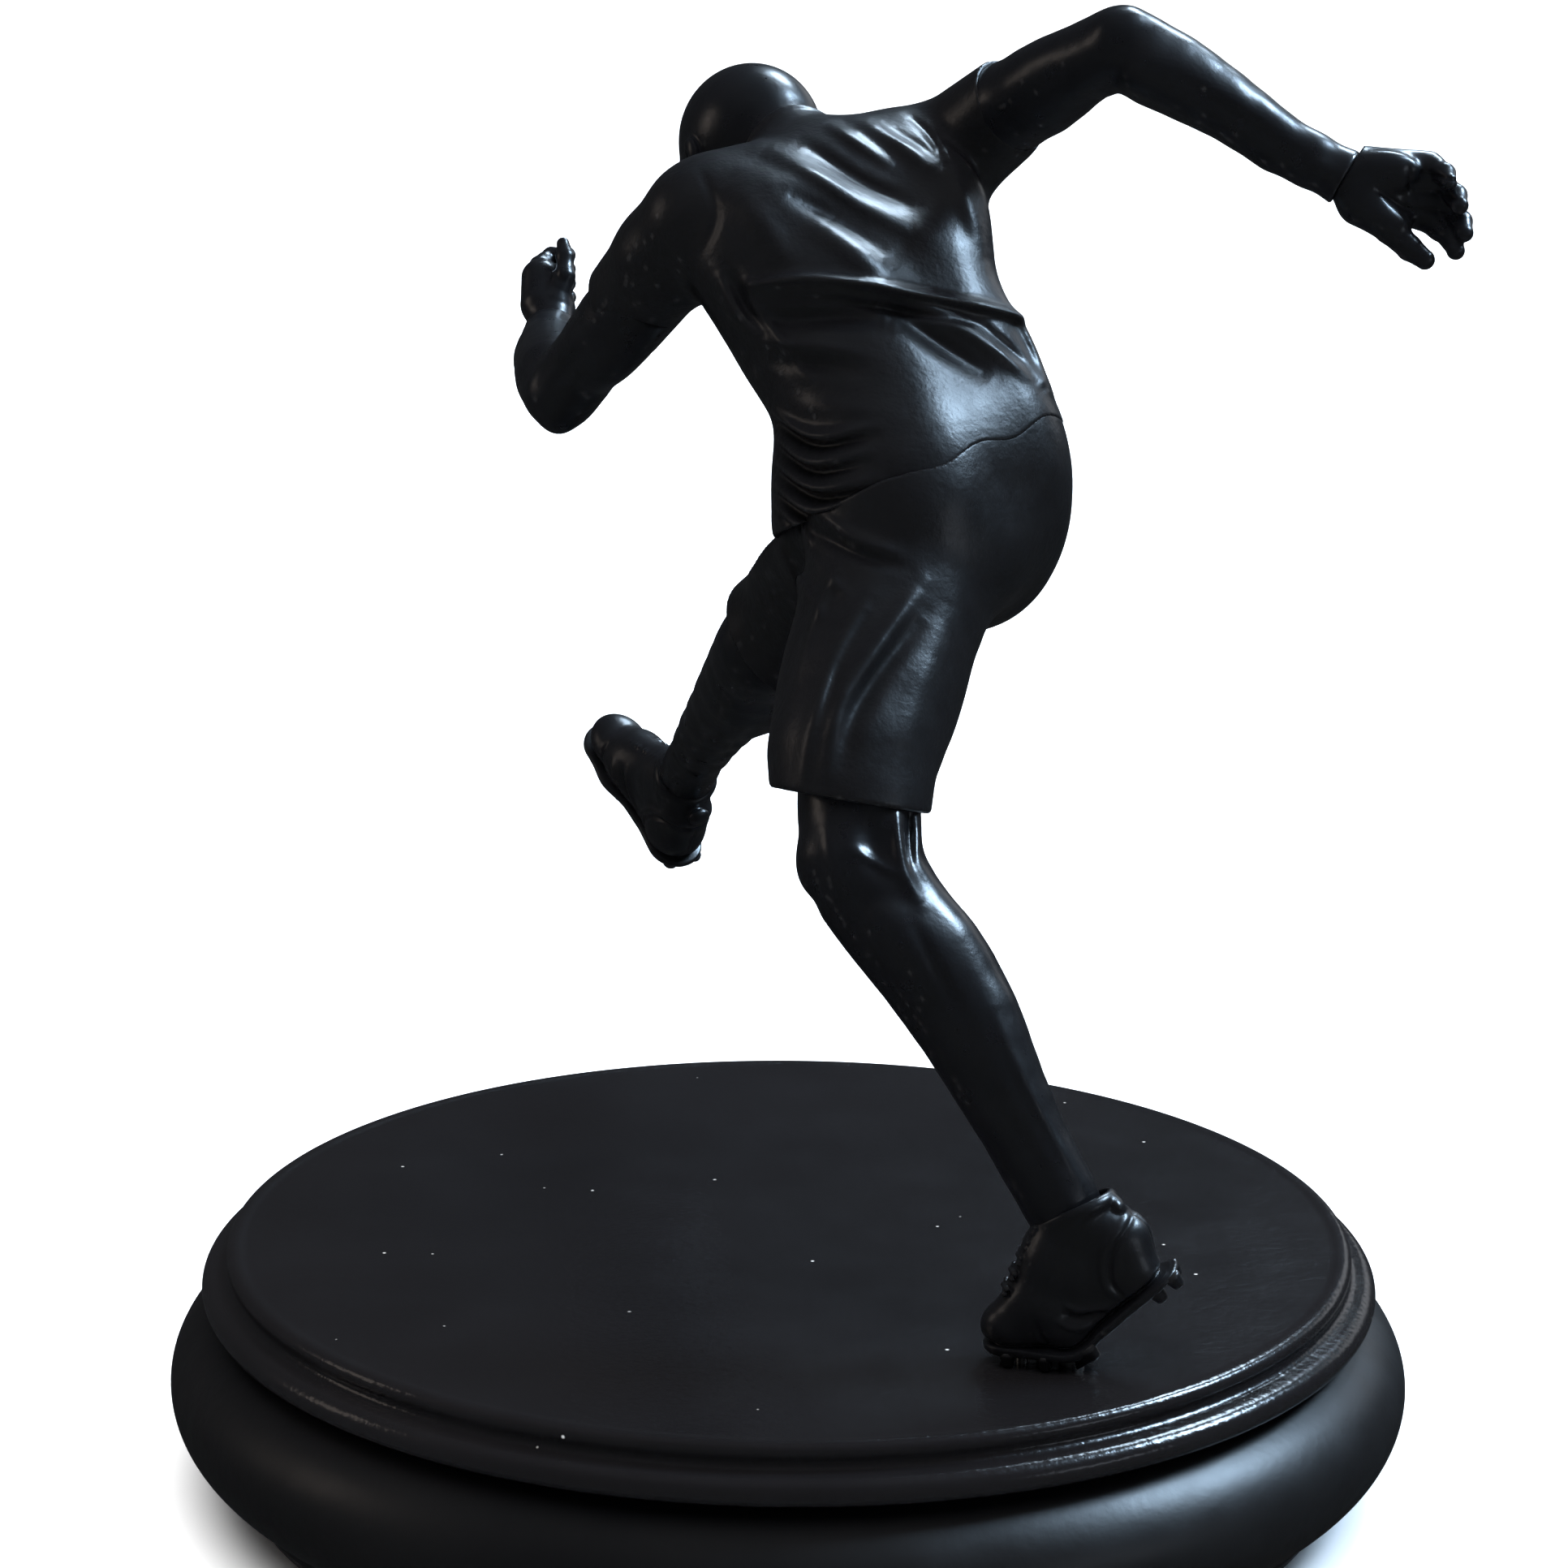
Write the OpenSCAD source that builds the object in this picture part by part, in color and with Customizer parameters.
// Figure trophy: a running footballer cast in pieces, on a turned round plinth.
// Millimetres, +Z up. The origin is the middle of the felt's underside.
// The runner heads towards -X and +Y, and stands on the ball of the left foot.

/* [Plinth] */
// Largest diameter of the plinth, across its fat round moulding
base_d = 150; // [140:1:160]
// Height of the plinth from the table to its flat top
base_h = 30; // [28:1:34]
// Thickness of the separate top disc
cap_t = 7; // [6:0.5:8]
// Diameter of the flat top, inside its bead
plateau_d = 134; // [126:1:136]
// Diameter of the step below the top bead
step_d = 142; // [140:1:144]
// Thickness of the felt pad
felt_t = 1.5; // [1:0.5:2]
// Diameter of the felt pad
felt_d = 132; // [110:1:134]

/* [Figure] */
// Radius of the skull
skull_r = 9.2; // [8:0.1:10]
// Radius of a knee
knee_r = 6.2; // [5.5:0.1:6.6]
// Radius of the thickest part of a calf
calf_r = 6.6; // [6:0.1:7]
// Radius of an ankle
ankle_r = 3.6; // [3.2:0.1:4]
// Radius of an upper arm below the sleeve
upper_arm_r = 5.2; // [4.5:0.1:5.6]
// Radius of an elbow
elbow_r = 4.7; // [4:0.1:5]
// Radius of a wrist
wrist_r = 2.9; // [2.6:0.1:3.2]

/* [Boots] */
// Height of a boot stud
boot_stud_h = 1.3; // [1:0.1:1.6]
// Height of the low studs under the swinging boot
swing_stud_h = 0.4; // [0.3:0.1:1.3]
// Diameter of a boot stud at its root
boot_stud_d = 1.9; // [1.5:0.1:2.2]
// Angle that the heel of the standing boot is lifted by
heel_lift = 42; // [36:1:46]

/* [Fixings] */
// Diameter of the threaded stud through the plinth
stud_d = 3; // [3:0.5:4]
// Diameter of the pins that join the castings
pin_d = 2; // [1.5:0.1:2.2]
// Length of a joining pin
pin_len = 9; // [8:1:10]
// Gap between a pin and its hole, on the radius
pin_gap = 0.05; // [0.02:0.01:0.1]

/* [Hidden] */
$fn = 48;
hull_fn = 24;
eps = 0.01;
resin = "#15161a";
resin_skin = "#1c1e22";
lacquer = "#121113";
steel = "silver";
felt_colour = "#232325";

// Heights in the plinth
body_top = base_h - cap_t;
moulding_r = [11.5, 9.8];
moulding_c = [base_d / 2 - moulding_r[0], 13.2];

// Joints of the skeleton
hip_l = [12.5, -3, 116];
hip_r = [25.5, 9, 116];
knee_l = [7.5, -28, 85.5];
knee_r_pos = [-4.5, 33, 95.2];
ankle_l = [30.5, -40, 49.5];
ankle_r_pos = [-15.6, 70.9, 68.8];
groin = [6.8, 18.5, 113];
chest = [7.2, 17, 145];
neck = [0.5, 29, 156];
skull = [-4.5, 41, 157.5];
shoulder_l = [-12, 18, 150];
shoulder_r = [18, 35, 156.5];
elbow_l = [-29, 35, 126.4];
elbow_r_pos = [38, 14, 172.6];
wrist_l = [-31.5, 60, 129.5];
wrist_r_pos = [63.5, 8, 158];
calf_share = 0.36;

// Where the cloth ends
hem_l = [7, -24, 91];
hem_r = [0, 30, 97.5];
shirt_hem = [16, 4.5, 124.5];
cuff_l = [-19.3, 25.5, 139.5];
cuff_r = [24.5, 28.5, 162.5];
collar = [-0.5, 31.5, 156.5];

function unit(v) = v / norm(v);
function mix(a, b, t) = a + (b - a) * t;

spine = unit([-10, 6, 18]);
neck_dir = unit(skull - neck);
thigh_dir_l = unit(knee_l - hip_l);
thigh_dir_r = unit(knee_r_pos - hip_r);
shin_dir_l = unit(ankle_l - knee_l);
shin_dir_r = unit(ankle_r_pos - knee_r_pos);
arm_dir_l = unit(elbow_l - shoulder_l);
arm_dir_r = unit(elbow_r_pos - shoulder_r);
forearm_dir_l = unit(wrist_l - elbow_l);
forearm_dir_r = unit(wrist_r_pos - elbow_r_pos);
shoulder_line = unit(shoulder_r - shoulder_l);
hip_line = unit([13, 12, 0]);

// A boot's frame: the ball of the foot, then toe, left-hand and upward directions
stand_ball = [32, -42.5, base_h + boot_stud_h];
stand_frame = [stand_ball, unit([-1, 0.02, 0]), unit([-0.02, -1, 0]), [0, 0, 1]];
swing_toe = unit([-9, 12.5, 11.5]);
swing_left = unit(cross([0.24, -0.62, 0.74], swing_toe));
swing_up = cross(swing_toe, swing_left);
swing_frame = [ankle_r_pos + 7.5 * swing_toe - 9.5 * swing_up, swing_toe, swing_left, swing_up];

// A point of a boot: t along the sole, w across, h above it; the heel turns about the ball
function lifted(t, h, a) = [t * cos(a) + h * sin(a), h * cos(a) - t * sin(a)];
function boot_point(f, t, w, h, a) =
    let (p = t < 0 ? lifted(t, h, a) : [t, h]) f[0] + p[0] * f[1] + w * f[2] + p[1] * f[3];

// ---------- helpers ----------

// A cylinder or cone from a to b
module rod(a, b, d, d2 = -1) {
    v = b - a;
    translate(a)
        rotate([0, acos(v[2] / norm(v)), atan2(v[1], v[0])])
            cylinder(h = norm(v), d1 = d, d2 = d2 < 0 ? d : d2);
}

module ball(p, r) {
    translate(p)
        sphere(r, $fn = hull_fn);
}

// A thin flat disc across the direction dir, behind the plane through p
module disc(p, dir, r) {
    $fn = hull_fn;
    rod(p - 0.4 * dir, p, 2 * r);
}

module pin_at(p, dir, extra = 0) {
    rod(p - pin_len / 2 * dir, p + pin_len / 2 * dir, pin_d + extra);
}

module pin_hole(p, dir) {
    pin_at(p, dir, 2 * pin_gap);
}

// ---------- plinth ----------

function moulding_point(a) = moulding_c + [moulding_r[0] * cos(a), moulding_r[1] * sin(a)];

screw_circle_r = 40;
function screw_place(i) = [screw_circle_r * cos(90 + 120 * i), screw_circle_r * sin(90 + 120 * i), 0];
screw_seat_z = 14;
screw_tip_z = base_h - 3;
nut_room_z = 8;

module felt_pad() {
    color(felt_colour)
        cylinder(h = felt_t, d = felt_d, $fn = 96);
}

module base_body() {
    foot_r = moulding_point(-70)[0];
    color(lacquer)
        difference() {
            rotate_extrude($fn = 128)
                polygon(concat(
                    [[0, felt_t], [foot_r, felt_t]],
                    [for (a = [-70:7:77]) moulding_point(a)],
                    [[66, body_top], [0, body_top]]
                ));
            for (i = [0:2]) {
                translate(screw_place(i)) {
                    cylinder(h = screw_seat_z, r = 3.5);
                    cylinder(h = base_h, r = 1.7);
                }
            }
            translate([stand_ball[0], stand_ball[1], 0]) {
                cylinder(h = nut_room_z, r = 5);
                cylinder(h = base_h, r = stud_d / 2 + 0.2);
            }
        }
}

module base_top() {
    step_r = step_d / 2;
    plateau_r = plateau_d / 2;
    bead_r = 1.1;
    bead_c = [plateau_r - 0.1, base_h - bead_r];
    nose_r = 1.7;
    nose_c = [step_r - nose_r, base_h - 4.9];
    color(lacquer)
        difference() {
            rotate_extrude($fn = 128)
                polygon(concat(
                    [[0, body_top], [step_r - 2.4, body_top]],
                    [for (a = [-70:20:90]) nose_c + nose_r * [cos(a), sin(a)]],
                    [[plateau_r + 0.9, base_h - 2.9], [plateau_r + 0.5, base_h - 2.4]],
                    [for (a = [-50:20:90]) bead_c + bead_r * [cos(a), sin(a)]],
                    [[0, base_h]]
                ));
            for (i = [0:2]) {
                translate(screw_place(i))
                    cylinder(h = screw_tip_z, r = 1.5);
            }
            translate([stand_ball[0], stand_ball[1], 0])
                cylinder(h = base_h + 1, r = stud_d / 2 + pin_gap);
            toe_pin_shape(pin_gap);
        }
}

module cap_screws() {
    color(steel)
        for (i = [0:2]) {
            translate(screw_place(i)) {
                translate([0, 0, screw_seat_z - 2.4])
                    difference() {
                        cylinder(h = 2.4, r = 2.8);
                        translate([0, 0, -eps])
                            cylinder(h = 1.4, r = 1.45, $fn = 6);
                    }
                translate([0, 0, screw_seat_z])
                    cylinder(h = screw_tip_z - screw_seat_z, r = 1.5);
            }
        }
}

// ---------- fixings under the standing boot ----------

module figure_stud() {
    color(steel)
        translate([stand_ball[0], stand_ball[1], 3])
            cylinder(h = 33, d = stud_d);
}

module stud_washer() {
    color(steel)
        translate([stand_ball[0], stand_ball[1], nut_room_z - 0.6])
            difference() {
                cylinder(h = 0.6, r = 3.5);
                translate([0, 0, -eps])
                    cylinder(h = 1, r = stud_d / 2 + 0.1);
            }
}

module stud_nut() {
    color(steel)
        translate([stand_ball[0], stand_ball[1], nut_room_z - 3])
            difference() {
                cylinder(h = 2.4, r = 3.1, $fn = 6);
                translate([0, 0, -eps])
                    cylinder(h = 3, r = stud_d / 2 + pin_gap);
            }
}

module toe_pin_shape(gap) {
    p = boot_point(stand_frame, 5.5, 0, 0, 0);
    translate([p[0], p[1], base_h - 4])
        cylinder(h = 8, r = 0.75 + gap);
}

module toe_pin() {
    color(steel)
        toe_pin_shape(0);
}

// ---------- body castings ----------

module torso_shirt() {
    color(resin)
        difference() {
            union() {
                // Ribcage between the shoulders
                hull() {
                    ball(shoulder_l + 3 * shoulder_line, 6.2);
                    ball(shoulder_r - 3 * shoulder_line, 6.2);
                    ball(chest - 5.8 * shoulder_line - [0, 0, 3], 10);
                    ball(chest + 9 * shoulder_line - [0, 0, 3], 10);
                    disc(collar, neck_dir, 5.6);
                }
                // Belly and loose shirt down to the hem
                hull() {
                    ball(chest - 4.6 * shoulder_line - [0, 0, 4], 9.8);
                    ball(chest + 7.4 * shoulder_line - [0, 0, 5], 9.8);
                    disc(shirt_hem - 6 * hip_line, -spine, 10.5);
                    disc(shirt_hem + 6 * hip_line, -spine, 11);
                }
                // Sleeves
                hull() {
                    ball(shoulder_l, 6.6);
                    disc(cuff_l, arm_dir_l, 5.9);
                }
                hull() {
                    ball(shoulder_r, 6.2);
                    disc(cuff_r, arm_dir_r, 6.3);
                }
            }
            pin_hole(collar, neck_dir);
            pin_hole(cuff_l, arm_dir_l);
            pin_hole(cuff_r, arm_dir_r);
            pin_hole(shirt_hem - 6 * hip_line, spine);
            pin_hole(shirt_hem + 6 * hip_line, spine);
        }
}

module shorts() {
    color(resin)
        difference() {
            union() {
                hull() {
                    disc(shirt_hem - 6 * hip_line, spine, 10);
                    disc(shirt_hem + 5.5 * hip_line, spine, 10.5);
                    ball(hip_l + [1, 1, -1], 9.5);
                    ball(hip_r + [0, -3.5, 1], 9.2);
                }
                hull() {
                    ball(hip_l, 9.2);
                    disc(hem_l, thigh_dir_l, 9.4);
                }
                hull() {
                    ball(hip_r + [-1.5, -1, -2], 9.4);
                    ball(groin, 9);
                    disc(hem_r, thigh_dir_r, 8.3);
                }
            }
            pin_hole(shirt_hem - 6 * hip_line, spine);
            pin_hole(shirt_hem + 6 * hip_line, spine);
            pin_hole(hem_l, thigh_dir_l);
            pin_hole(hem_r, thigh_dir_r);
        }
}

module head() {
    chin = skull + 7.5 * unit([-0.55, 0.6, -0.75]);
    color(resin_skin)
        difference() {
            union() {
                hull() {
                    disc(collar, -neck_dir, 4.6);
                    ball(mix(neck, skull, 0.7), 4.8);
                }
                hull() {
                    ball(skull, skull_r);
                    ball(skull + [2, -2.5, 1], skull_r - 0.8);
                    ball(chin, 5);
                }
            }
            pin_hole(collar, neck_dir);
            // The skull's back stays clear of the shirt
            rod(collar, collar - 8 * neck_dir, 40);
        }
}

module neck_pin() {
    color(steel)
        pin_at(collar, neck_dir);
}

module waist_pins() {
    color(steel) {
        pin_at(shirt_hem - 6 * hip_line, spine);
        pin_at(shirt_hem + 6 * hip_line, spine);
    }
}

// ---------- arms ----------

module arm(cuff, cuff_dir, elbow, wrist, wrist_dir) {
    color(resin_skin)
        difference() {
            union() {
                hull() {
                    disc(cuff, -cuff_dir, upper_arm_r);
                    ball(elbow, elbow_r);
                }
                hull() {
                    ball(elbow, elbow_r);
                    ball(mix(elbow, wrist, 0.25), elbow_r - 0.1);
                    disc(wrist, wrist_dir, wrist_r);
                }
            }
            pin_hole(cuff, cuff_dir);
            pin_hole(wrist, wrist_dir);
        }
}

module right_arm() {
    arm(cuff_r, arm_dir_r, elbow_r_pos, wrist_r_pos, forearm_dir_r);
}

module left_arm() {
    arm(cuff_l, arm_dir_l, elbow_l, wrist_l, forearm_dir_l);
}

// Open hand, its back to the rear, the fingers curled and the thumb below
module right_hand() {
    along = forearm_dir_r;
    knuckles = wrist_r_pos + [9.6, 0.8, -1.4];
    color(resin_skin)
        difference() {
            union() {
                hull() {
                    disc(wrist_r_pos, -along, wrist_r);
                    ball(wrist_r_pos + [2.5, 0, -1], 2.9);
                    ball(knuckles + [0, 0, 2.9], 1.9);
                    ball(knuckles - [0, 0, 2.9], 1.9);
                }
                for (i = [0:3]) {
                    z = 2.9 - 1.95 * i;
                    hull() {
                        ball(knuckles + [0, 0, z], 1.6);
                        ball(knuckles + [3.8, -1.2, 1.1 * z - 0.6], 1.45);
                        ball(knuckles + [5, -4, 1.1 * z - 1.9], 1.2);
                    }
                }
                hull() {
                    ball(wrist_r_pos + [2.7, -1.2, -3], 2.4);
                    ball(knuckles + [0.6, -4, -7.6], 1.3);
                }
            }
            pin_hole(wrist_r_pos, along);
        }
}

// Loose fist with the thumb up
module left_hand() {
    along = forearm_dir_l;
    palm = wrist_l + 6 * along + [1.2, 0, 2.2];
    color(resin_skin)
        difference() {
            union() {
                hull() {
                    disc(wrist_l, -along, wrist_r);
                    ball(palm + [-1.5, 0, 2], 3.6);
                    ball(palm + [1.6, 1, -0.5], 3.2);
                }
                hull() {
                    ball(palm + [-1.2, 2, 3], 3.1);
                    ball(palm + [1.8, 3, 0.5], 2.8);
                }
                hull() {
                    ball(palm + [1, 0, 3], 1.7);
                    ball(palm + [2.6, 1, 7.5], 1.2);
                }
            }
            pin_hole(wrist_l, along);
        }
}

module shoulder_pins() {
    color(steel) {
        pin_at(cuff_l, arm_dir_l);
        pin_at(cuff_r, arm_dir_r);
    }
}

module wrist_pins() {
    color(steel) {
        pin_at(wrist_l, forearm_dir_l);
        pin_at(wrist_r_pos, forearm_dir_r);
    }
}

// ---------- legs ----------

module leg(hem, thigh_dir, knee, shin_dir, ankle, calf_back, k) {
    bulge = mix(knee, ankle, calf_share) + calf_back;
    color(resin_skin)
        difference() {
            union() {
                hull() {
                    disc(hem, -thigh_dir, (knee_r + 0.9) * k);
                    ball(knee, knee_r * k);
                }
                hull() {
                    ball(knee, knee_r * k);
                    ball(bulge, calf_r * k);
                }
                hull() {
                    ball(bulge, calf_r * k);
                    disc(ankle, shin_dir, ankle_r * k);
                }
            }
            pin_hole(hem, thigh_dir);
            pin_hole(ankle, shin_dir);
        }
}

module standing_leg() {
    leg(hem_l, thigh_dir_l, knee_l, shin_dir_l, ankle_l, [0.7, -0.3, 0.4], 1);
}

module swing_leg() {
    leg(hem_r, thigh_dir_r, knee_r_pos, shin_dir_r, ankle_r_pos, [0.6, -0.4, -1.6], 0.94);
}

module knee_pins() {
    color(steel) {
        pin_at(hem_l, thigh_dir_l);
        pin_at(hem_r, thigh_dir_r);
    }
}

module ankle_pins() {
    color(steel) {
        pin_at(ankle_l, shin_dir_l);
        pin_at(ankle_r_pos, shin_dir_r);
    }
}

// ---------- boots ----------

boot_back = -15.6;
boot_front = 11;

module boot_shape(f, a, ankle, shin_dir) {
    // Forefoot
    hull() {
        ball(boot_point(f, boot_front - 3, 0.3, 3, a), 3);
        ball(boot_point(f, 0.5, -1.4, 3.2, a), 3.2);
        ball(boot_point(f, 0.5, 1.4, 3.2, a), 3.2);
        ball(boot_point(f, -1, 0, 5.2, a), 3.2);
    }
    // Instep and heel, up to the collar
    hull() {
        ball(boot_point(f, -0.5, 0, 4, a), 3.8);
        ball(boot_point(f, boot_back + 3.4, 0, 3.4, a), 3.4);
        ball(boot_point(f, boot_back + 3.6, 0, 6.6, a), 3.3);
        disc(ankle, -shin_dir, ankle_r + 0.7);
    }
}

module standing_boot() {
    color(resin)
        difference() {
            boot_shape(stand_frame, heel_lift, ankle_l, -shin_dir_l);
            pin_hole(ankle_l, shin_dir_l);
            translate([stand_ball[0], stand_ball[1], base_h])
                cylinder(h = 6.2, r = stud_d / 2 + pin_gap);
            toe_pin_shape(pin_gap);
        }
}

module swing_boot() {
    color(resin)
        difference() {
            boot_shape(swing_frame, 0, ankle_r_pos, -shin_dir_r);
            pin_hole(ankle_r_pos, shin_dir_r);
        }
}

// Studs under the forefoot and the heel, each a short cone
module boot_studs(f, a, tall) {
    color(resin)
        for (spot = [[6, -2], [6, 2], [2, -3], [2, 3], [-2.5, -3], [-2.5, 3], [-9.5, -2.2], [-9.5, 2.2],
                     [-12.5, -1.8], [-12.5, 1.8]]) {
            rod(boot_point(f, spot[0], spot[1], 0.6, a), boot_point(f, spot[0], spot[1], -tall, a),
                boot_stud_d, boot_stud_d * 0.65);
        }
}

module standing_boot_studs() {
    difference() {
        boot_studs(stand_frame, heel_lift, boot_stud_h);
        boot_shape(stand_frame, heel_lift, ankle_l, -shin_dir_l);
    }
}

module swing_boot_studs() {
    difference() {
        boot_studs(swing_frame, 0, swing_stud_h);
        boot_shape(swing_frame, 0, ankle_r_pos, -shin_dir_r);
    }
}

felt_pad();
base_body();
base_top();
cap_screws();
figure_stud();
stud_washer();
stud_nut();
toe_pin();
torso_shirt();
shorts();
head();
neck_pin();
waist_pins();
right_arm();
right_hand();
left_arm();
left_hand();
shoulder_pins();
wrist_pins();
standing_leg();
standing_boot();
swing_leg();
swing_boot();
knee_pins();
ankle_pins();
standing_boot_studs();
swing_boot_studs();
